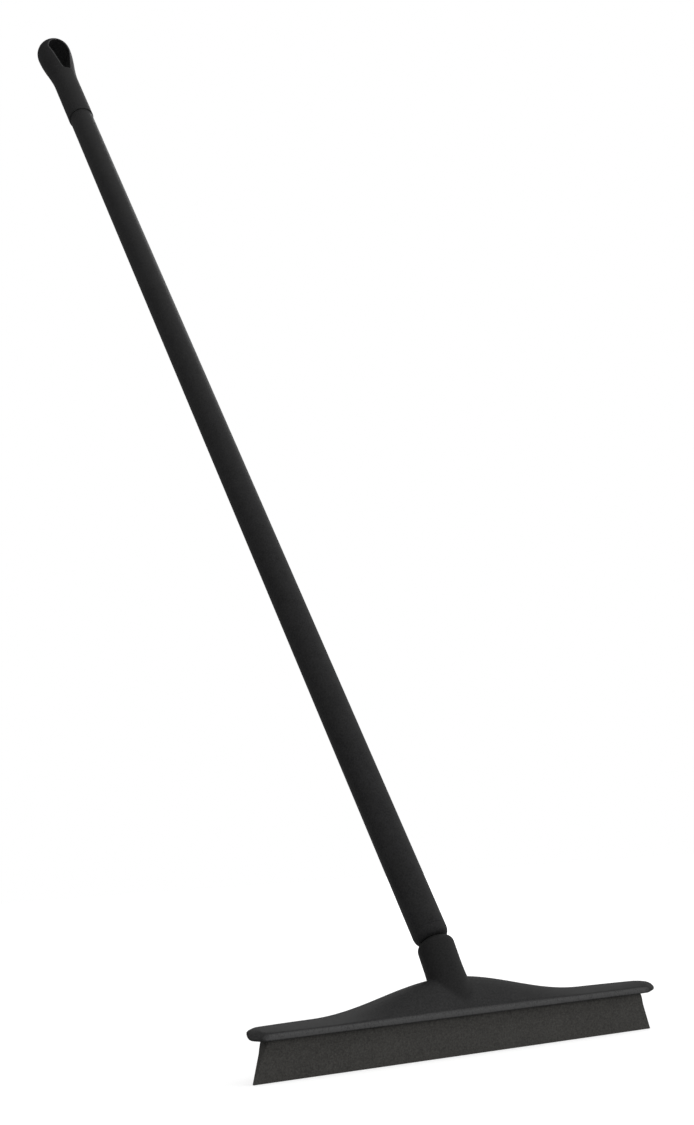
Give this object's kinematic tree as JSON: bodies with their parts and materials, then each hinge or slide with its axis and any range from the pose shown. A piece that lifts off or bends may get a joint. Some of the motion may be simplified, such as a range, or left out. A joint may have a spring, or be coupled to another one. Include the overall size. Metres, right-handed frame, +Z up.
{
  "type": "floor squeegee",
  "caption": "Long-handled floor squeegee: a one-piece moulded head with a tapered rubber blade, screwed onto a round tube handle with a rounded hanging cap.",
  "frame": {"origin": "middle of the blade's floor edge", "axes": "+X along the blade, +Z up in the plane of the blade, +Y to the back, where the handle leans"},
  "size_m": [0.41, 0.8929, 1.3582],
  "materials": {
    "head_plastic": "satin black moulded plastic with a fine grain",
    "blade_rubber": "matt black rubber with a fine grain",
    "thread_plastic": "satin black hard moulded plastic",
    "tube_aluminium": "drawn tube, as drawn",
    "sleeve_plastic": "satin black extruded plastic",
    "cap_plastic": "satin black moulded plastic"
  },
  "bodies": {
    "head": {"head_body": "head_plastic"},
    "blade": {"blade": "blade_rubber"},
    "core": {"handle_tube": "tube_aluminium"},
    "handle": {"handle_sleeve": "sleeve_plastic", "hanging_cap": "cap_plastic", "thread_end": "thread_plastic"}
  },
  "joints": [
    {"name": "blade_flex", "type": "hinge", "parent": "head", "child": "blade", "pos_m": [0, 0, 0.0312], "axis": [1, 0, 0], "range_deg": [-15, 15], "stiffness_Nm_per_rad": 3},
    {"name": "handle_rise", "type": "slide", "parent": "head", "child": "core", "axis": [0, 0.5505, 0.8348], "range_m": [0, 0.02]},
    {"name": "handle_turn", "type": "hinge", "parent": "core", "child": "handle", "pos_m": [0, 0.03769, 0.09214], "axis": [0, 0.5505, 0.8348], "range_deg": [0, 1440]}
  ],
  "couplings": [
    {"joint": "handle_turn", "follows": "handle_rise", "rad_per_m": 1256.6}
  ]
}
